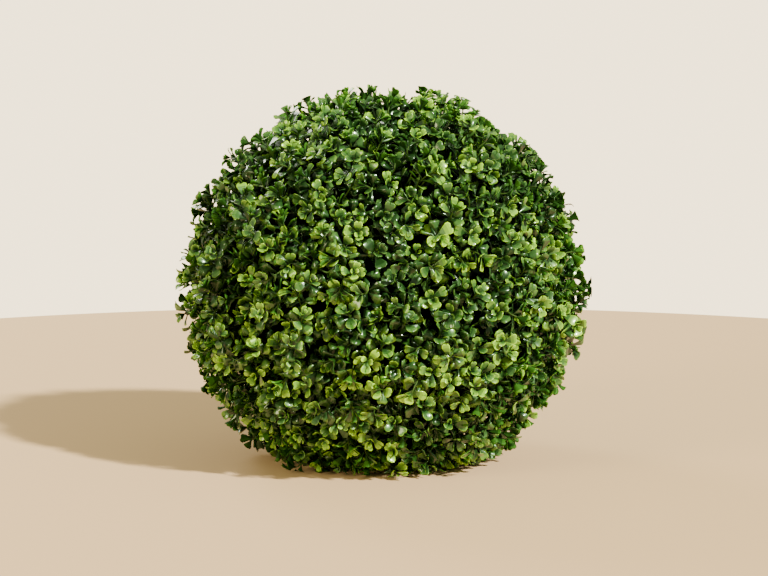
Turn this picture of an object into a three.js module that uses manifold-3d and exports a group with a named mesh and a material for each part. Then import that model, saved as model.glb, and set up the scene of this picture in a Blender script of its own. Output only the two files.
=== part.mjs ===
// A clipped ball of moulded box foliage. A short stem carries a round carrier in two halves, and
// twelve five-sided panels close round it, each a backing with sprays of leaves standing out of it.
// Millimetres and radians, +Z up. The origin is the middle of the stem's flat cut, on the ground.
import * as THREE from "three";
import { mergeVertices } from "three/addons/utils/BufferGeometryUtils.js";
import Module from "manifold-3d";

const wasm = await Module();
wasm.setup();

// Driving dimensions.
const ballRadius = 200; // from the ball's centre to the tips of its sprays
const centreHeight = 172; // of the ball's centre, so that the ground flattens its underside
const carrierRadius = 152; // of the inner ball that the panels close round
const backingThickness = 14; // of each panel behind its sprays
const clearance = 0.3; // between pieces that touch
const ballDetail = 2; // subdivisions of each face of the round solids

const stemFootRadius = 16;
const stemRadius = 11; // just above the flare
const stemTopRadius = 8;
const stemFlareHeight = 14;
const stemTopHeight = centreHeight + 32; // inside the upper half of the carrier
const stemSides = 16;

const sprayCount = 120; // over the whole ball
const rootPull = 0.12; // share of the way to its panel's middle that a twig's root stands
const reachScatter = 4; // how far a spray may stray from the ball's radius
const tiltScatter = THREE.MathUtils.degToRad(6); // how far a leaf's rise may stray
const twigSides = 4; // each of which bears a leaf in every whorl
const twigRootRadius = 3.6;
const twigTipRadius = 2.8;
const twigSunk = 6; // of its root in the backing
const leafThickness = 1.8; // at its root, thinning to its rim
const leafWidestAt = 0.6; // of its length
const leafTipWidth = 0.45; // of its width, where the blunt tip ends it
const leafCup = 0.1; // how far a leaf's sides rise, as a share of its width
const leafRoom = THREE.MathUtils.degToRad(0.4); // from a leaf to the edge of its spray's cell
const leafShortening = 0.05; // of a leaf's full size, each time it doesn't fit its cell
const smallestLeaf = 0.55; // of its full size, below which it is skipped

// The whorls of a spray, from its root to its tip. Depth is how far inside the ball's outline a
// whorl leaves its twig, tilt is how steeply its leaves rise, and turn is about the twig.
const whorls = [
  { length: 35, width: 30, depth: 25, tilt: THREE.MathUtils.degToRad(16), turn: 0 },
  { length: 24, width: 18, depth: 14, tilt: THREE.MathUtils.degToRad(50), turn: Math.PI / 4 },
];

const panelRadius = carrierRadius + backingThickness;
const ballCentre = new THREE.Vector3(0, 0, centreHeight);
const up = new THREE.Vector3(0, 0, 1);
const down = new THREE.Vector3(0, 0, -1);
const fifth = 2 * Math.PI / 5; // of a turn
const goldenAngle = Math.PI * (3 - Math.sqrt(5));

// The middles of the twelve panels are the corners of an icosahedron that stands on a corner.
const ringTilt = Math.atan(2); // from one panel's middle to its neighbour's
const edgeTilt = ringTilt / 2; // from a panel's middle to the middle of its edge
const cornerTilt = Math.atan(Math.tan(edgeTilt) / Math.cos(fifth / 2));

// The direction at an angle from straight up, and at an azimuth from +X.
function aim(tilt, azimuth) {
  const across = Math.sin(tilt);
  return new THREE.Vector3(across * Math.cos(azimuth), across * Math.sin(azimuth), Math.cos(tilt));
}

// Each panel's middle, and the middle of a neighbour that shares an edge with it.
const front = -Math.PI / 2;
const panels = [
  { name: "foliage_top", middle: up, neighbour: aim(ringTilt, front) },
  ...["front", "right", "back_right", "back_left", "left"].map((side, i) => (
    { name: `foliage_upper_${side}`, middle: aim(ringTilt, front + i * fifth), neighbour: up }
  )),
  ...["front_right", "right", "back", "left", "front_left"].map((side, i) => ({
    name: `foliage_lower_${side}`,
    middle: aim(Math.PI - ringTilt, front + (i + 0.5) * fifth),
    neighbour: down,
  })),
  { name: "foliage_base", middle: down, neighbour: aim(Math.PI - ringTilt, front + 0.5 * fifth) },
];

// The directions of all the sprays, evenly spread on a spiral from the top to the foot.
const sprayWays = Array.from({ length: sprayCount }, (_, spray) => (
  aim(Math.acos(1 - (2 * spray + 1) / sprayCount), spray * goldenAngle)
));

// A repeatable number from -1 to 1 for a spray and one of its draws.
function stray(spray, draw) {
  const wave = Math.sin(spray * 12.9898 + draw * 78.233) * 43758.5453;
  return 2 * (wave - Math.floor(wave)) - 1;
}

// A closed geometry as a solid that can be joined and cut.
function solidOf(geometry) {
  const bare = geometry.clone();
  bare.deleteAttribute("normal");
  bare.deleteAttribute("uv");
  const merged = mergeVertices(bare, 1e-4);
  return new wasm.Manifold(new wasm.Mesh({
    numProp: 3,
    vertProperties: new Float32Array(merged.attributes.position.array),
    triVerts: new Uint32Array(merged.index.array),
  }));
}

function geometryOf(solid) {
  const cut = solid.getMesh();
  return new THREE.BufferGeometry()
    .setAttribute("position", new THREE.BufferAttribute(new Float32Array(cut.vertProperties), 3))
    .setIndex(new THREE.BufferAttribute(new Uint32Array(cut.triVerts), 1))
    .toNonIndexed();
}

// The stem, or with some room round it the hole that its neighbours leave for it.
function stemGeometry(room = 0) {
  const profile = [
    [0, -room],
    [stemFootRadius + room, -room],
    [(stemFootRadius + 2 * stemRadius) / 3 + room, stemFlareHeight / 3],
    [stemRadius + room, stemFlareHeight],
    [stemTopRadius + room, stemTopHeight + room],
    [0, stemTopHeight + room],
  ];
  const outline = profile.map(([radius, height]) => new THREE.Vector2(radius, height));
  return new THREE.LatheGeometry(outline, stemSides).rotateX(Math.PI / 2);
}

// A round solid about the ball's centre, with one of its corners straight up.
function ball(radius) {
  const corner = new THREE.Vector3(0, 1, (1 + Math.sqrt(5)) / 2).normalize();
  const geometry = new THREE.IcosahedronGeometry(radius, ballDetail)
    .applyQuaternion(new THREE.Quaternion().setFromUnitVectors(corner, up));
  return solidOf(geometry.rotateZ(Math.PI / 2).translate(0, 0, centreHeight));
}

// The half of the carrier above the ball's middle, or with side -1 the one below it.
function carrierHalf(side) {
  const size = 3 * carrierRadius;
  const half = new THREE.BoxGeometry(size, size, size)
    .translate(0, 0, centreHeight + side * (size + clearance) / 2);
  return ball(carrierRadius).intersect(solidOf(half)).subtract(solidOf(stemGeometry(clearance)));
}

// A panel's backing: the part of a shell inside a five-sided pyramid from the ball's centre.
function backingSolid(panel) {
  const height = 1.5 * panelRadius;
  const pyramid = new THREE.ConeGeometry(height * Math.tan(cornerTilt), height, 5)
    .translate(0, -height / 2, 0).rotateX(-Math.PI / 2).rotateZ(fifth / 4)
    .translate(0, 0, clearance / 2 / Math.sin(edgeTilt));
  const across = new THREE.Vector3().crossVectors(panel.middle, panel.neighbour).normalize();
  const along = new THREE.Vector3().crossVectors(across, panel.middle);
  pyramid.applyMatrix4(new THREE.Matrix4().makeBasis(along, across, panel.middle));
  const shell = ball(panelRadius).subtract(ball(carrierRadius + clearance));
  return shell.intersect(solidOf(pyramid.translate(...ballCentre)));
}

// True where a point is clear of the stem, and nearer its own spray than any other.
function isClear(point, spray) {
  if (Math.hypot(point.x, point.y) < stemFootRadius + clearance) return false;
  const way = point.clone().sub(ballCentre);
  const own = way.angleTo(sprayWays[spray]) + leafRoom;
  return sprayWays.every((other, i) => i === spray || way.angleTo(other) > own);
}

// The blunt outline of one leaf, from its right side to its left, as large as its cell allows.
// The frame has +X along the leaf's foot and +Z along the twig.
function leafRim(whorl, tilt, frame, spray) {
  for (let size = 1; size >= smallestLeaf; size -= leafShortening) {
    const side = size * whorl.width / 2;
    const cup = size * whorl.width * leafCup;
    const rim = [
      [size * whorl.length * leafWidestAt, -side, cup],
      [size * whorl.length, -side * leafTipWidth, 0],
      [size * whorl.length, side * leafTipWidth, 0],
      [size * whorl.length * leafWidestAt, side, cup],
    ].map(([along, across, rise]) => new THREE.Vector3(
      along * Math.cos(tilt), across, along * Math.sin(tilt) + rise,
    ).applyMatrix4(frame));
    if (rim.every((point) => isClear(point, spray))) return rim;
  }
  return null;
}

// The twig's corners at some height in a frame, one after each of its sides.
function twigRing(frame, radius, height) {
  return Array.from({ length: twigSides }, (_, i) => new THREE.Vector3(radius, 0, height)
    .applyAxisAngle(up, 2 * Math.PI * (i + 0.5) / twigSides).applyMatrix4(frame));
}

// The twig's surface between two rings, with a leaf grown out of each side that has a rim.
function twigBand(lower, upper, rims = []) {
  return lower.flatMap((_, i) => {
    const last = (i + twigSides - 1) % twigSides;
    const [a, b, c, d] = [upper[last], upper[i], lower[i], lower[last]];
    if (!rims[i]) return [a, d, c, a, c, b];
    const [right, tipRight, tipLeft, left] = rims[i];
    const leafTop = [a, right, tipRight, a, tipRight, tipLeft, a, tipLeft, b, b, tipLeft, left];
    const leafUnder = [d, tipRight, right, d, tipLeft, tipRight, d, c, tipLeft, c, left, tipLeft];
    return [...leafTop, ...leafUnder, a, d, right, b, left, c];
  });
}

// One spray: a twig that leaves the panel's backing, with whorls of leaves grown from its sides.
// Where the ground cuts its reach short, its leaves lie flatter and its whorls closer together.
function spraySolid(panel, spray) {
  const way = sprayWays[spray];
  const free = ballRadius + stray(spray, 1) * reachScatter;
  const onGround = centreHeight < -way.z * free;
  const reach = onGround ? centreHeight / -way.z : free;
  const share = Math.min(1, (reach - panelRadius) / (ballRadius - panelRadius));
  const axis = onGround ? down : way;
  const side = new THREE.Vector3()
    .crossVectors(axis, aim(Math.PI / 2, Math.PI * stray(spray, 2))).normalize();
  const ahead = new THREE.Vector3().crossVectors(axis, side);
  const root = way.clone().lerp(panel.middle, rootPull).setLength(panelRadius - twigSunk);
  const tip = way.clone().setLength(reach);
  const length = tip.distanceTo(root);
  const frameAt = (depth, turn) => new THREE.Matrix4().makeBasis(side, ahead, axis)
    .multiply(new THREE.Matrix4().makeRotationZ(turn))
    .setPosition(tip.clone().lerp(root, depth / length).add(ballCentre));

  let ring = twigRing(frameAt(length, 0), twigRootRadius, 0);
  const corners = [ring[0], ring[2], ring[1], ring[0], ring[3], ring[2]];
  whorls.forEach((whorl, i) => {
    const frame = frameAt(share * whorl.depth, whorl.turn);
    const tilt = share * (whorl.tilt + stray(spray, 3 + i) * tiltScatter);
    const lower = twigRing(frame, twigTipRadius, -leafThickness / 2);
    const upper = twigRing(frame, twigTipRadius, leafThickness / 2);
    const rims = lower.map((_, leaf) => {
      const turned = new THREE.Matrix4().makeRotationZ(2 * Math.PI * leaf / twigSides);
      return leafRim(whorl, tilt, frame.clone().multiply(turned), spray);
    });
    corners.push(...twigBand(ring, lower), ...twigBand(lower, upper, rims));
    ring = upper;
  });
  corners.push(ring[0], ring[1], ring[2], ring[0], ring[2], ring[3]);
  return solidOf(new THREE.BufferGeometry().setFromPoints(corners));
}

// One panel: its backing with its own sprays fused on, cut clear of the stem and flat on the ground.
function panelSolid(panel) {
  const pieces = [backingSolid(panel)];
  sprayWays.forEach((way, spray) => {
    const nearest = panels.reduce((best, other) => (
      other.middle.dot(way) > best.middle.dot(way) ? other : best
    ));
    const besideStem = way.z < 0 && Math.hypot(way.x, way.y) * panelRadius < 2 * stemFootRadius;
    if (nearest === panel && !besideStem) pieces.push(spraySolid(panel, spray));
  });
  const size = 4 * ballRadius;
  const underground = new THREE.BoxGeometry(size, size, size).translate(0, 0, -size / 2);
  const bodies = wasm.Manifold.union(pieces)
    .subtract(solidOf(underground))
    .subtract(solidOf(stemGeometry(clearance)))
    .decompose();
  return bodies.reduce((best, body) => (body.volume() > best.volume() ? body : best));
}

function mesh(name, geometry, color, roughness) {
  const material = new THREE.MeshStandardMaterial({ color, roughness, metalness: 0 });
  const made = new THREE.Mesh(geometry, material);
  made.name = name;
  return made;
}

const topiaryBall = new THREE.Group();
topiaryBall.add(mesh("stem", stemGeometry(), "#2c2416", 0.65));
topiaryBall.add(mesh("carrier_lower", geometryOf(carrierHalf(-1)), "#10180e", 0.7));
topiaryBall.add(mesh("carrier_upper", geometryOf(carrierHalf(1)), "#10180e", 0.7));
for (const panel of panels)
  topiaryBall.add(mesh(panel.name, geometryOf(panelSolid(panel)), "#3f7a24", 0.42));

export default topiaryBall;
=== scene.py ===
import math

import bpy
import numpy as np
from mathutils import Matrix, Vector


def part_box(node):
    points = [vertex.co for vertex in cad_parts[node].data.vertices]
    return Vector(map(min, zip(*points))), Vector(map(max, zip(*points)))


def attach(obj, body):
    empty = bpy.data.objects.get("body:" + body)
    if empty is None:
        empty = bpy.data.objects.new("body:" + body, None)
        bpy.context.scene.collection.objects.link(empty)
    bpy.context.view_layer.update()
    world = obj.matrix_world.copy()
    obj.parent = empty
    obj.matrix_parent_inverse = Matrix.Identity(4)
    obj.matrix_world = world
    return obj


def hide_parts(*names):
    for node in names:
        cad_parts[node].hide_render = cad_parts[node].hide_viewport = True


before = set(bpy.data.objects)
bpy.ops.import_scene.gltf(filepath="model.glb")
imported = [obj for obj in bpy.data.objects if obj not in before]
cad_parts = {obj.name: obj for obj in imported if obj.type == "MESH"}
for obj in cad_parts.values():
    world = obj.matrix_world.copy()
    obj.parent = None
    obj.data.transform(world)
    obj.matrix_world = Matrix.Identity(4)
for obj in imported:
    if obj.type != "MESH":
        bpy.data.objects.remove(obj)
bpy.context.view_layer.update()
print("frame loaded:", len(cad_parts), "nodes")

seed = 77
rng = np.random.default_rng(seed)

# The ball's middle and its carrier's radius come from the frame.
lowerHalf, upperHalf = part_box("carrier_lower"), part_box("carrier_upper")
centreHeight = (lowerHalf[1].z + upperHalf[0].z) / 2
carrierRadius = upperHalf[1].z - centreHeight
centre = np.array([0, 0, centreHeight])
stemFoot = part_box("stem")[1].x

ball = {
    "radius": 0.200,  # from the middle to the tips of the sprays
    "backing": 0.014,  # thickness of the panels behind the sprays
    "sprays": 120,  # main twigs, where the solids have theirs
    "rootPull": 0.12,  # share of the way to its panel's middle that a main twig's root stands
    "reachScatter": 0.004,  # of the main twigs
    "scatterDraw": 1,  # the row of strays that scatters them
    "outline": 0.2085,  # distance from the middle past which leaves are clipped back
    "outlineRoom": 0.004,  # depth that they are pressed into
    "groundRoom": 0.007,  # height under which leaves are pressed flat
}
backingRadius = carrierRadius + ball["backing"]


strayWave = {
    "step": 12.9898,  # radians from one place to the next
    "drawStep": 78.233,  # and from one row to the next
    "height": 43758.5453,
}


# A number from -1 to 1 for each place in a row: the part after the point of a large sine wave,
# doubled, less one.
def strays(count, draw):
    angle = np.arange(count) * strayWave["step"] + draw * strayWave["drawStep"]
    wave = strayWave["height"] * np.sin(angle)
    return 2 * (wave - np.floor(wave)) - 1


def unit(rows):
    return rows / np.linalg.norm(rows, axis=-1, keepdims=True)


# The direction at an angle from straight up and at an azimuth from +X.
def aim(tilt, azimuth):
    tilt, azimuth = np.broadcast_arrays(tilt, azimuth)
    across = np.sin(tilt)
    return np.stack([across * np.cos(azimuth), across * np.sin(azimuth), np.cos(tilt)], -1)


# Directions on a spiral from top to foot, in equal steps of height and a golden angle apart.
def spiralWays(count):
    step = np.arange(count)
    return aim(np.arccos(1 - (2 * step + 1) / count), step * math.pi * (3 - math.sqrt(5)))


fifth = 2 * math.pi / 5
ringTilt = math.atan(2)
front = -math.pi / 2
upperSides = ["front", "right", "back_right", "back_left", "left"]
lowerSides = ["front_right", "right", "back", "left", "front_left"]
panelNames = ["top", *["upper_" + s for s in upperSides], *["lower_" + s for s in lowerSides], "base"]
turns = np.arange(5) * fifth
panelWays = np.vstack([
    [[0, 0, 1]],
    aim(ringTilt, front + turns),
    aim(math.pi - ringTilt, front + fifth / 2 + turns),
    [[0, 0, -1]],
])
neighbourWays = np.vstack([
    panelWays[1:2],
    np.tile(panelWays[:1], (5, 1)),
    np.tile(panelWays[-1:], (5, 1)),
    panelWays[6:7],
])


# One mesh object from points, sets of faces with equally many corners, and a material number for
# each face.
def newPiece(name, points, faceSets, materials, tints=None):
    corners = np.concatenate([faces.ravel() for faces in faceSets])
    sizes = np.concatenate([np.full(len(faces), faces.shape[1]) for faces in faceSets])
    mesh = bpy.data.meshes.new(name)
    mesh.vertices.add(len(points))
    mesh.vertices.foreach_set("co", np.ascontiguousarray(points, np.float32).ravel())
    mesh.loops.add(len(corners))
    mesh.loops.foreach_set("vertex_index", corners.astype(np.int32))
    mesh.polygons.add(len(sizes))
    mesh.polygons.foreach_set("loop_start", (np.cumsum(sizes) - sizes).astype(np.int32))
    if tints is not None:
        mesh.polygons.foreach_set("material_index", tints.astype(np.int32))
    mesh.polygons.foreach_set("use_smooth", np.ones(len(sizes), bool))
    for material in materials:
        mesh.materials.append(material)
    mesh.update(calc_edges=True)
    mesh.validate()
    piece = bpy.data.objects.new(name, mesh)
    bpy.context.scene.collection.objects.link(piece)
    return piece


# The faces between rings of points that are joined all round, and two poles that close the ends.
def ringFaces(rings, sides):
    ring = np.arange(rings - 1)[:, None] * sides
    here = np.arange(sides)[None, :]
    after = (here + 1) % sides
    quads = np.stack([ring + here, ring + after, ring + sides + after, ring + sides + here], -1)
    start, end = rings * sides, rings * sides + 1
    last = (rings - 1) * sides
    caps = np.concatenate([
        np.stack([after[0], here[0], np.full(sides, start)], -1),
        np.stack([last + here[0], last + after[0], np.full(sides, end)], -1),
    ])
    return quads.reshape(-1, 4), caps


# The same faces for many copies of a shape, one after another.
def repeatFaces(faces, copies, pointsEach):
    return (faces[None] + (np.arange(copies) * pointsEach)[:, None, None]).reshape(-1, faces.shape[1])


# Points past the outline close up towards it, by room * (1 - e^(-past / room)), and heights near the
# ground close up towards it, by room * e^((z - room) / room).
def clipped(points):
    away = points - centre
    distance = np.linalg.norm(away, axis=-1, keepdims=True)
    room = ball["outlineRoom"]
    past = np.maximum(distance - ball["outline"], 0)
    kept = np.minimum(distance, ball["outline"]) + room * (1 - np.exp(-past / room))
    points = centre + away * kept / distance
    room = ball["groundRoom"]
    height = points[..., 2]
    points[..., 2] = np.where(height < room, room * np.exp((height - room) / room), height)
    return points


def setInputs(shader, values):
    for name, value in values.items():
        shader.inputs[name].default_value = value


shine = {
    "cool": (0.68, 1.0, 0.66),  # tint of the gloss on the oldest leaves
    "warm": (0.72, 1.0, 0.50),  # and on all the rest
    "coolTints": 4,
    "leaf": 0.5,  # strength of the gloss
    "under": 0.2,
    "twig": 0.3,
    "coat": 0.45,  # of the clear coat on the upper sides
    "coatRoughness": 0.09,
}
mould = {
    "detail": 4,
    "shades": (0.6, 1.3),  # of the colour, in its darkest and its lightest mottle
    "bump": 0.25,
    "depth": 0.0006,
}


# Moulded leaf plastic: a plain colour under a tinted gloss and a thin white one.
def leafPlastic(name, colour, roughness, sheen, gloss, coat):
    material = bpy.data.materials.new(name)
    material.use_nodes = True
    setInputs(material.node_tree.nodes["Principled BSDF"], {
        "Base Color": (*colour, 1),
        "Roughness": roughness,
        "Specular Tint": (*sheen, 1),
        "Specular IOR Level": gloss,
        "Coat Weight": coat,
        "Coat Roughness": shine["coatRoughness"],
    })
    return material


# Dull moulded plastic with the fine mottle and grain of its mould.
def mouldedPlastic(name, colour, roughness, grain, gloss):
    material = bpy.data.materials.new(name)
    material.use_nodes = True
    nodes, links = material.node_tree.nodes, material.node_tree.links
    shader = nodes["Principled BSDF"]
    place = nodes.new("ShaderNodeTexCoord")
    mottle = nodes.new("ShaderNodeTexNoise")
    setInputs(mottle, {"Scale": grain, "Detail": mould["detail"]})
    ramp = nodes.new("ShaderNodeValToRGB")
    for stop, shade in zip(ramp.color_ramp.elements, mould["shades"]):
        stop.color = (*[shade * c for c in colour], 1)
    bump = nodes.new("ShaderNodeBump")
    setInputs(bump, {"Strength": mould["bump"], "Distance": mould["depth"]})
    links.new(place.outputs["Object"], mottle.inputs["Vector"])
    links.new(mottle.outputs["Fac"], ramp.inputs["Fac"])
    links.new(mottle.outputs["Fac"], bump.inputs["Height"])
    links.new(ramp.outputs["Color"], shader.inputs["Base Color"])
    links.new(bump.outputs["Normal"], shader.inputs["Normal"])
    setInputs(shader, {"Roughness": roughness, "Specular IOR Level": gloss})
    return material


# Leaf tints from the oldest to the youngest, as linear colours, with their roughness.
leafTints = [
    ("leaf_deep", (0.006, 0.026, 0.004), 0.28),
    ("leaf_bottle", (0.014, 0.050, 0.009), 0.28),
    ("leaf_dark", (0.027, 0.082, 0.015), 0.29),
    ("leaf_mid", (0.050, 0.130, 0.024), 0.30),
    ("leaf_fresh", (0.089, 0.204, 0.021), 0.31),
    ("leaf_bright", (0.144, 0.316, 0.018), 0.32),
    ("leaf_young", (0.225, 0.458, 0.020), 0.33),
    ("leaf_lime", (0.365, 0.680, 0.036), 0.34),
]
# The dull undersides, each for a few of these tints.
underTints = [
    ("under_old", (0.010, 0.042, 0.004), 0.50),
    ("under_mid", (0.027, 0.102, 0.008), 0.50),
    ("under_young", (0.092, 0.240, 0.016), 0.50),
]
tintsPerUnder = 3
twigTints = [
    ("twig_old", (0.012, 0.020, 0.005), 0.55),
    ("twig_young", (0.028, 0.062, 0.008), 0.50),
]
oldTwig, youngTwig = range(len(twigTints))
leafMaterials = [leafPlastic(*tint, shine["cool" if number < shine["coolTints"] else "warm"],
                             shine["leaf"], shine["coat"])
                 for number, tint in enumerate(leafTints)]
leafMaterials += [leafPlastic(*tint, shine["warm"], shine["under"], 0) for tint in underTints]
twigMaterials = [leafPlastic(*tint, shine["warm"], shine["twig"], 0) for tint in twigTints]
# near black: the lattice's dark plastic, darkened further as painted shade so the gaps between sprays
# read black
backingPlasticAndShade = mouldedPlastic(
    "backing_plastic_painted_shade", (0.001, 0.002, 0.001), roughness=0.9, grain=220, gloss=0.02)
# near black: dark plastic, darkened further as painted shade for the gaps between sprays
carrierPlasticAndShade = mouldedPlastic(
    "carrier_plastic_painted_shade", (0.002, 0.004, 0.0015), roughness=0.85, grain=160, gloss=0.05)
stemMaterial = mouldedPlastic(
    "stem_plastic", (0.045, 0.032, 0.018), roughness=0.65, grain=300, gloss=0.2)


leastDepth = 1e-6  # in place of none, for directions that don't point down


# How far each direction reaches before the ball's outline stops it, or a height above the ground.
def reachOf(ways, free, lift):
    depth = np.maximum(-ways[:, 2], leastDepth)
    return np.minimum(free, (centreHeight - lift) / depth)


# The main twigs stand where the solids have theirs, by the same rule.
sprayWays = spiralWays(ball["sprays"])
sprayPanel = np.argmax(sprayWays @ panelWays.T, axis=1)
rootWays = unit(sprayWays + ball["rootPull"] * (panelWays[sprayPanel] - sprayWays))
sprayScatter = ball["reachScatter"] * strays(ball["sprays"], ball["scatterDraw"])
sprayReach = reachOf(sprayWays, ball["radius"] + sprayScatter, 0)

mainTwig = {
    "sunk": 0.003,  # of its root in the backing
    "short": 0.016,  # of the ball's outline where its tip stands
    "least": 0.001,  # of its tip past the backing
    "radii": (0.0019, 0.0012),
    "sides": 7,
    "stations": 6,
    "bend": 0.12,  # sideways bow, as a share of its length
}
mainRoots = centre + rootWays * (backingRadius - mainTwig["sunk"])
mainReach = np.maximum(sprayReach - mainTwig["short"], backingRadius + mainTwig["least"])
mainTips = centre + sprayWays * mainReach[:, None]

# Side twigs in two layers: the outer one makes the ball's surface, and the inner one fills in behind.
sideTwig = {
    "jitter": 0.022,  # radians that a side twig may stray from its place
    "radii": (0.0011, 0.0007),
    "sides": 5,
    "stations": 6,
    "stemRoom": 0.010,
    "clump": 1.6,  # how far it follows its main twig's own scatter
    "scatterLimits": (-2.4, 2),  # in standard deviations
    "knee": 0.5,  # share of its span from its tip back to the point that its curve aims at
}
outerLayer = {
    "count": 980,
    "inset": 0.0064,  # of its tip inside the ball's outline, which its leaves fill
    "lift": 0.003,  # of its tip above the ground
    "scatter": 0.0062,  # of its reach
    "starts": (0.12, 0.6),  # share of the main twig where it starts
    "lean": 1.65,  # how far its end leans from straight outwards
    "shade": 0,  # how much older its leaves are, and how much painted shade they get for their depth
}
innerLayer = {
    "count": 740,
    "inset": 0.0195,
    "lift": 0.016,
    "scatter": 0.0050,
    "starts": (0.0, 0.4),
    "lean": 0.9,
    # darker tints for its leaves: older, and painted shade for their depth
    "shade": 1.6,
}


# Points and headings at shares of curves that start at a, aim at b and end at c:
# (1-t)^2 a + 2t(1-t) b + t^2 c, and its slope.
def alongCurves(a, b, c, t):
    t = t[..., None]
    points = (1 - t) ** 2 * a + 2 * t * (1 - t) * b + t ** 2 * c
    return points, unit((1 - t) * (b - a) + t * (c - b))


# Two directions square to each heading, and to each other.
def squareTo(headings, hint):
    first = unit(np.cross(headings, hint))
    return first, np.cross(headings, first)


# Tubes along curves: rings of corners square to the curve, thinning from root to tip, with poles.
def twigTubes(a, b, c, hint, shape):
    t = np.linspace(0, 1, shape["stations"])[None, :].repeat(len(a), 0)
    points, headings = alongCurves(a[:, None], b[:, None], c[:, None], t)
    first, second = squareTo(headings, hint[:, None])
    turn = np.arange(shape["sides"]) * 2 * math.pi / shape["sides"]
    radius = np.linspace(*shape["radii"], shape["stations"])[None, :, None, None]
    rim = np.cos(turn)[:, None] * first[:, :, None] + np.sin(turn)[:, None] * second[:, :, None]
    rings = (points[:, :, None] + radius * rim).reshape(len(a), -1, 3)
    endPole = points[:, -1:] + shape["radii"][1] * headings[:, -1:]
    return np.concatenate([rings, points[:, :1], endPole], 1)


# Side twigs of one layer: each way on a finer spiral belongs to the main twig nearest to it, and a
# curve runs from a place on that twig to the ball's outline.
def growSideTwigs(layer):
    ways = unit(spiralWays(layer["count"]) + sideTwig["jitter"] * rng.normal(size=(layer["count"], 3)))
    owner = np.argmax(ways @ sprayWays.T, axis=1)
    scatter = layer["scatter"] * np.clip(rng.normal(size=len(ways)), *sideTwig["scatterLimits"])
    free = ball["radius"] + sideTwig["clump"] * sprayScatter[owner] + scatter - layer["inset"]
    tips = centre + ways * reachOf(ways, free, layer["lift"])[:, None]
    clear = (ways[:, 2] > 0) | (np.hypot(tips[:, 0], tips[:, 1]) > stemFoot + sideTwig["stemRoom"])
    ways, tips, owner = ways[clear], tips[clear], owner[clear]
    start = rng.uniform(*layer["starts"], (len(ways), 1))
    roots = mainRoots[owner] + start * (mainTips - mainRoots)[owner]
    sway = np.cross(rng.normal(size=ways.shape), ways)
    ends = unit(ways + layer["lean"] * sway / math.sqrt(2))
    span = np.linalg.norm(tips - roots, axis=1, keepdims=True)
    knees = tips - sideTwig["knee"] * span * ends
    hint = unit(np.cross(ways, rng.normal(size=ways.shape)))
    return {
        "owner": owner, "panel": sprayPanel[owner], "hint": hint, "span": span[:, 0],
        "curve": (roots, knees, tips), "tubes": clipped(twigTubes(roots, knees, tips, hint, sideTwig)),
    }


mainBow = np.cross(sprayWays, unit(rng.normal(size=sprayWays.shape)))
mainLength = np.linalg.norm(mainTips - mainRoots, axis=1, keepdims=True)
mainKnees = (mainRoots + mainTips) / 2 + mainTwig["bend"] * mainLength * mainBow
mainTubes = clipped(twigTubes(mainRoots, mainKnees, mainTips, mainBow, mainTwig))
outerTwigs, innerTwigs = growSideTwigs(outerLayer), growSideTwigs(innerLayer)


# One piece of many copies of shapes: each part has its copies' points, the faces of one copy, and a
# tint for each face of each copy.
def joinedPiece(name, parts, materials):
    sets, points, tints, at = [], [], [], 0
    for copies, faceSets in parts:
        for faces, tint in faceSets:
            sets.append(repeatFaces(faces, len(copies), copies.shape[1]) + at)
            tints.append(np.broadcast_to(tint, (len(copies), len(faces))).ravel())
        points.append(copies.reshape(-1, 3))
        at += len(points[-1])
    piece = newPiece(name, np.vstack(points), sets, materials, np.concatenate(tints))
    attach(piece, "root")
    return piece


for panel, name in enumerate(panelNames):
    parts = []
    for tubes, shape, panels, tint in (
        (mainTubes, mainTwig, sprayPanel, oldTwig),
        (outerTwigs["tubes"], sideTwig, outerTwigs["panel"], youngTwig),
        (innerTwigs["tubes"], sideTwig, innerTwigs["panel"], oldTwig),
    ):
        faceSets = [(faces, tint) for faces in ringFaces(shape["stations"], shape["sides"])]
        parts.append((tubes[panels == panel], faceSets))
    joinedPiece("twigs_" + name, parts, twigMaterials)
print("twigs made:", len(mainTubes), "main,", len(outerTwigs["tubes"]), "outer and",
      len(innerTwigs["tubes"]), "inner")


leaf = {
    "thickness": 0.0005,
    "cup": 0.16,  # depth of its hollow, as a share of its width
    "curl": 0.22,  # how far its tip bends back, as a share of its length
    "notch": 0.11,  # of its length, in the middle of its tip
    "wedge": 1.3,  # power of its widening from foot to tip
    "blunt": 8,  # power of its rounding off at the tip, and of the notch
    "widest": 0.7,  # what these two come to where it is widest
    "hollow": 1.1,  # power of the rise of its sides
    "bend": 2.5,  # power of its bending back
    "thinFoot": 4,  # its full thickness starts at one part in this many of its length
    "size": 0.98,  # share of the pairs' lengths and widths
}

# Where points stand along a leaf, and round its section: across from rim to rim, and height in
# thicknesses, top side first. The rim is 1 for the faces along the leaf's edge, which get paler
# tints as a painted highlight, and under is 1 for those of its underside.
leafKinds = {
    "fine": {
        "stations": (0.05, 0.30, 0.55, 0.76, 0.92, 0.985),
        "across": (1, 0.8, 0, -0.8, -1, -0.5, 0.5),
        "height": (0, 0.5, 0.5, 0.5, 0, -1, -1),
        "rim": (1, 0, 0, 1, 0, 0, 0),
        "under": (0, 0, 0, 0, 1, 1, 1),
    },
    "plain": {
        "stations": (0.06, 0.42, 0.78, 0.97),
        "across": (1, 0, -1, 0),
        "height": (0, 0.5, 0, -1),
        "rim": (0, 0, 0, 0),
        "under": (0, 0, 1, 1),
    },
}
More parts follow.
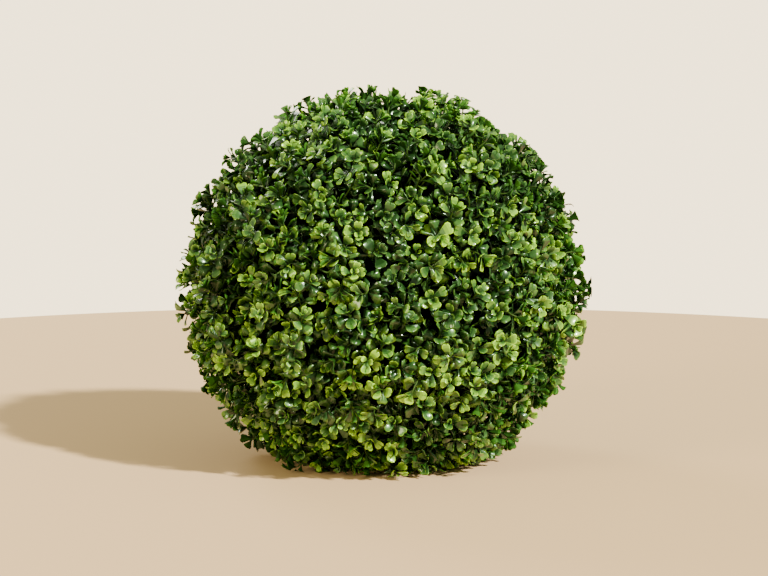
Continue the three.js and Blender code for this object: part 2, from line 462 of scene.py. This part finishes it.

# The crossed pairs of leaves of a side twig, from its tip down: back is the distance from the tip,
# spread the angle from the twig in degrees, and shade how much older than the tip pair it is, which
# also darkens the lower pairs as painted shade for their depth.
outerPairs = [
    {"kind": "fine", "back": 0.0002, "length": 0.0096, "width": 0.0056, "spread": 18, "shade": 0.0},
    {"kind": "fine", "back": 0.0026, "length": 0.0138, "width": 0.0090, "spread": 32, "shade": 0.2},
    {"kind": "fine", "back": 0.0064, "length": 0.0158, "width": 0.0112, "spread": 46, "shade": 0.5},
    {"kind": "plain", "back": 0.0120, "length": 0.0160, "width": 0.0116, "spread": 60, "shade": 1.4},
    {"kind": "plain", "back": 0.0185, "length": 0.0160, "width": 0.0116, "spread": 68, "shade": 2.4},
]
innerPairs = [
    {"kind": "plain", "back": 0.0005, "length": 0.0144, "width": 0.0100, "spread": 32, "shade": 0.0},
    {"kind": "plain", "back": 0.0035, "length": 0.0160, "width": 0.0116, "spread": 52, "shade": 0.5},
    {"kind": "plain", "back": 0.0090, "length": 0.0160, "width": 0.0116, "spread": 64, "shade": 1.0},
]
stray = {  # of a leaf from its place, in radians, shares of its size and tint numbers
    "turn": 0.35,
    "spread": 0.28,
    "roll": 0.45,
    "twigSize": 0.12,
    "size": 0.10,
    "cup": 0.07,
    "curl": 0.16,
    "shade": 0.7,
}
ages = {
    "youngest": 6.3,  # tint number of the freshest tips
    "oldest": 0.6,
    "sprayBeta": (1.2, 1.3),  # powers of the beta spread of the sprays' youth
    "twigBeta": (1.1, 1.2),
    "sprayShare": 0.35,  # of a twig's age that its whole spray has in common
    "tipLight": 7.5,  # tint numbers that a leaf gains from its foot to its tip
    "lightFrom": 0.82,  # share of its length that has the leaf's own tint
    "rimPaintedHighlight": 1.5,  # tint numbers that its rim gains, a painted highlight
}


# A leaf's half width at a share u of its length: a wedge with a blunt end, u^wedge sqrt(1 - u^blunt).
def leafHalfWidth(u):
    return u ** leaf["wedge"] * np.sqrt(1 - u ** leaf["blunt"]) / leaf["widest"]


# Closed leaves: a flat lens section carried from foot to tip, its sides raised to a hollow by a power
# of |v| and its length bent back by a power of u. Each leaf has its own origin, frame and sizes.
def leafPoints(kind, origins, frames, length, width, cup, curl):
    around = len(kind["across"])
    u = np.concatenate([np.repeat(kind["stations"], around), [0, 1]])
    v, h = (np.concatenate([np.tile(kind[key], len(kind["stations"])), [0, 0]])
            for key in ("across", "height"))
    half = leafHalfWidth(u)
    length, width, cup, curl = (value[:, None] for value in (length, width, cup, curl))
    x = length * (u - leaf["notch"] * (1 - np.abs(v)) * u ** leaf["blunt"])
    y = width / 2 * half * v
    raised = cup * width * half * np.abs(v) ** leaf["hollow"] - curl * length * u ** leaf["bend"]
    z = raised + leaf["thickness"] * h * np.minimum(1, leaf["thinFoot"] * u)
    local = np.stack([x, y, z], -1)
    return origins[:, None] + np.einsum("nij,npj->npi", frames, local)


# A frame for each leaf: its length turned out from the twig by the spread, its hollow side to the
# twig's tip, and both rolled a little about the length.
def leafFrames(headings, hint, turn, spread, roll):
    first, second = squareTo(headings, hint)
    out = np.cos(turn)[:, None] * first + np.sin(turn)[:, None] * second
    cos, sin = np.cos(spread)[:, None], np.sin(spread)[:, None]
    along = cos * headings + sin * out
    face = sin * headings - cos * out
    side = np.cross(face, along)
    cos, sin = np.cos(roll)[:, None], np.sin(roll)[:, None]
    return np.stack([along, cos * side + sin * face, cos * face - sin * side], -1)


# The leaves of one layer's twigs, as points with their kind, panel and tint number.
def growLeaves(twigs, pairs, shade):
    count = len(twigs["owner"])

    def near(middle, spread):
        return middle + spread * rng.uniform(-1, 1, count)

    turn, size = rng.uniform(0, 2 * math.pi, count), near(leaf["size"], stray["twigSize"])
    youth = (ages["sprayShare"] * sprayYouth[twigs["owner"]]
             + (1 - ages["sprayShare"]) * rng.beta(*ages["twigBeta"], count))
    # older and deeper leaves take darker tints, partly as painted shade for their depth
    age = ages["oldest"] + (ages["youngest"] - ages["oldest"]) * youth - shade
    made = []
    for number, pair in enumerate(pairs):
        points, headings = alongCurves(*twigs["curve"], 1 - pair["back"] / twigs["span"])
        for half in (0, math.pi):
            frames = leafFrames(
                headings, twigs["hint"], near(turn + number * math.pi / 2 + half, stray["turn"]),
                near(math.radians(pair["spread"]), stray["spread"]), near(0, stray["roll"]))
            leaves = leafPoints(
                leafKinds[pair["kind"]], points, frames,
                pair["length"] * size * near(1, stray["size"]),
                pair["width"] * size * near(1, stray["size"]),
                near(leaf["cup"], stray["cup"]), near(leaf["curl"], stray["curl"]))
            tint = near(age - pair["shade"], stray["shade"])
            made.append((clipped(leaves), leafKinds[pair["kind"]], twigs["panel"], tint))
    return made


sprayYouth = rng.beta(*ages["sprayBeta"], ball["sprays"])
leafSets = growLeaves(outerTwigs, outerPairs, outerLayer["shade"])
leafSets += growLeaves(innerTwigs, innerPairs, innerLayer["shade"])

for panel, name in enumerate(panelNames):
    parts = []
    for leaves, kind, panels, tint in leafSets:
        around = len(kind["across"])
        quads, caps = ringFaces(len(kind["stations"]), around)
        faceSets = []
        for faces, places in ((quads, kind["stations"][1:]), (caps, [0, 1])):
            along = np.repeat(places, around)
            rim, under = (np.tile(kind[key], len(places)) for key in ("rim", "under"))
            # the tip's younger tint, and paler rim faces as a painted highlight
            tipTintAndRimHighlight = ages["tipLight"] * (along - ages["lightFrom"]) + ages["rimPaintedHighlight"] * rim
            number = tint[panels == panel][:, None] + tipTintAndRimHighlight
            number = np.clip(np.rint(number), 0, len(leafTints) - 1)
            number = np.where(under, len(leafTints) + number // tintsPerUnder, number)
            faceSets.append((faces, number))
        parts.append((leaves[panels == panel], faceSets))
    piece = joinedPiece("leaves_" + name, parts, leafMaterials)
    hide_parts("foliage_" + name)
print("leaves made:", sum(len(leaves) for leaves, _, _, _ in leafSets))


backing = {
    "around": 60,  # points round each panel
    "outside": 14,  # points from its hole to its edge
    "hole": 0.004,  # radius of the hole in its middle
    "ribHeight": 0.0025,
    "spokes": 15,  # waves of ribs round each panel
    "rings": 5,
    "sharpness": 8,  # power that makes ribs of waves
    "gap": 0.0003,  # to the carrier and the next panel
}
edgeTilt = ringTilt / 2


# A five-sided shell: a closed section from the middle hole out along the face, down the edge and
# back along the carrier, carried round the panel. Ribs in rings and spokes stand up on its face.
def backingPoints(panel):
    middle = panelWays[panel]
    across = unit(np.cross(middle, neighbourWays[panel]))
    along = np.cross(across, middle)
    turn = np.arange(backing["around"])[:, None] * 2 * math.pi / backing["around"]
    edge = np.arctan(math.tan(edgeTilt) / np.cos((turn + fifth / 2) % fifth - fifth / 2))
    edge = edge - backing["gap"] / carrierRadius
    hole = stemFoot + backing["gap"] if panelNames[panel] == "base" else backing["hole"]
    share = np.linspace(0, 1, backing["outside"])[None, :]
    spoke = np.cos(turn * backing["spokes"]) ** backing["sharpness"]
    ring = np.cos(share * backing["rings"] * math.pi) ** backing["sharpness"]
    rise = backing["ribHeight"] * (np.maximum(spoke, ring) - 1)
    tilt = hole / carrierRadius + share * (edge - hole / carrierRadius)
    outside = backingRadius + rise
    inside = np.full_like(outside, carrierRadius + backing["gap"])
    tilts = np.concatenate([tilt, tilt[:, ::-1]], 1)
    radii = np.concatenate([outside, inside[:, ::-1]], 1)
    flat = np.sin(tilts) * radii
    return (centre + (flat * np.cos(turn))[..., None] * along
            + (flat * np.sin(turn))[..., None] * across + (np.cos(tilts) * radii)[..., None] * middle)


# The faces of a grid that is joined all round both ways.
def loopFaces(rows, columns):
    row = np.arange(rows)[:, None]
    column = np.arange(columns)[None, :]
    nextRow, nextColumn = (row + 1) % rows, (column + 1) % columns
    corners = [row * columns + column, row * columns + nextColumn,
               nextRow * columns + nextColumn, nextRow * columns + column]
    return np.stack(np.broadcast_arrays(*corners), -1).reshape(-1, 4)


for panel, name in enumerate(panelNames):
    grid = backingPoints(panel)
    faces = loopFaces(grid.shape[0], grid.shape[1])[:, ::-1]
    piece = newPiece("backing_" + name, grid.reshape(-1, 3), [faces], [backingPlasticAndShade])
    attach(piece, "root")

stem = {
    "heights": (0, 0.002, 0.0047, 0.009, 0.014, 0.05, 0.09, 0.13, 0.17, 0.2025, 0.204),
    "radii": (0.0155, 0.016, 0.0127, 0.0117, 0.011, 0.0104, 0.0098, 0.0092, 0.0086, 0.008, 0.0072),
    "around": 48,
    "ridge": 0.0004,
    "ridges": 9,
    "twist": 30,  # radians that they turn in a metre
}
turn = np.arange(stem["around"]) * 2 * math.pi / stem["around"]
heights, radii = np.array(stem["heights"])[:, None], np.array(stem["radii"])[:, None]
ridges = stem["ridge"] * (np.sin(turn * stem["ridges"] + stem["twist"] * heights) - 1)
rings = np.stack(np.broadcast_arrays(
    (radii + ridges) * np.cos(turn), (radii + ridges) * np.sin(turn), heights), -1).reshape(-1, 3)
poles = [[0, 0, stem["heights"][0]], [0, 0, stem["heights"][-1]]]
stemPiece = newPiece("stem_ridged", np.vstack([rings, poles]),
                     list(ringFaces(len(stem["heights"]), stem["around"])), [stemMaterial])
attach(stemPiece, "root")
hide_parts("stem")

for name in ("carrier_lower", "carrier_upper"):
    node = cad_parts[name]
    node.data.materials.clear()
    node.data.materials.append(carrierPlasticAndShade)
print("backings, stem and carrier made")


studio = {
    "floor": (0.62, 0.42, 0.22),
    "floorRadius": 1.25,
    "floorSides": 240,
    "floorRoughness": 0.85,
    "world": (0.93, 0.95, 0.62),
    "worldLight": 0.55,
    "wall": (1.0, 0.82, 0.52),
    "wallLight": 3.8,
    "keyPlace": (1.8, -1.7, 2.0),
    "keyAngle": 0.06,
    "keyStrength": 10.1,
    "keyColour": (1, 0.95, 0.86),
    "fillPlace": (-2.2, -2.0, 1.2),
    "lampSize": 1.2,
    "fillPower": 74,
    "fillColour": (1, 0.82, 0.50),
    "backPlace": (-1.6, 2.2, 1.9),
    "backPower": 42,
    "backColour": (1, 0.97, 0.9),
}


def newLight(kind, name, place, power, colour):
    light = bpy.data.lights.new(name, kind)
    light.energy = power
    light.color = colour
    lamp = bpy.data.objects.new(name, light)
    lamp.location = place
    lamp.rotation_euler = (Vector(centre) - Vector(place)).to_track_quat("-Z", "Y").to_euler()
    bpy.context.scene.collection.objects.link(lamp)
    return light


key = newLight("SUN", "key", studio["keyPlace"], studio["keyStrength"], studio["keyColour"])
key.angle = studio["keyAngle"]
for name in ("fill", "back"):
    place, power, colour = (studio[name + what] for what in ("Place", "Power", "Colour"))
    light = newLight("AREA", name, place, power, colour)
    light.shape = "DISK"
    light.size = studio["lampSize"]

# The world lights the ball softly, and is paler where the camera sees it.
world = bpy.data.worlds.new("studio")
world.use_nodes = True
nodes, links = world.node_tree.nodes, world.node_tree.links
setInputs(nodes["Background"], {"Color": (*studio["world"], 1), "Strength": studio["worldLight"]})
seen = nodes.new("ShaderNodeBackground")
setInputs(seen, {"Color": (*studio["wall"], 1), "Strength": studio["wallLight"]})
path, mix = nodes.new("ShaderNodeLightPath"), nodes.new("ShaderNodeMixShader")
links.new(path.outputs["Is Camera Ray"], mix.inputs["Fac"])
links.new(nodes["Background"].outputs[0], mix.inputs[1])
links.new(seen.outputs[0], mix.inputs[2])
links.new(mix.outputs[0], nodes["World Output"].inputs["Surface"])
bpy.context.scene.world = world

floorMaterial = bpy.data.materials.new("floor_plain")
floorMaterial.use_nodes = True
setInputs(floorMaterial.node_tree.nodes["Principled BSDF"], {
    "Base Color": (*studio["floor"], 1), "Roughness": studio["floorRoughness"]})
turn = np.arange(studio["floorSides"]) * 2 * math.pi / studio["floorSides"]
rim = studio["floorRadius"] * np.stack([np.cos(turn), np.sin(turn), 0 * turn], -1)
floor = newPiece("floor", rim, [np.arange(studio["floorSides"])[None, :]], [floorMaterial])

camera = {
    "lens": 110,  # on a sensor 36 mm wide
    "distance": 2.38,
    "pitch": math.radians(6.6),
    "aimRight": 0.002,  # of the ball's middle
    "aimAbove": 0.002,
    "farthest": 50,  # distance that it sees
}
viewer = bpy.data.cameras.new("camera")
viewer.lens = camera["lens"]
viewer.clip_end = camera["farthest"]
eye = bpy.data.objects.new("camera", viewer)
back = Vector((0, -math.cos(camera["pitch"]), math.sin(camera["pitch"])))
target = Vector(centre) + Vector((camera["aimRight"], 0, camera["aimAbove"]))
eye.location = target + camera["distance"] * back
eye.rotation_euler = (-back).to_track_quat("-Z", "Y").to_euler()
bpy.context.scene.collection.objects.link(eye)
bpy.context.scene.camera = eye
print("studio made")
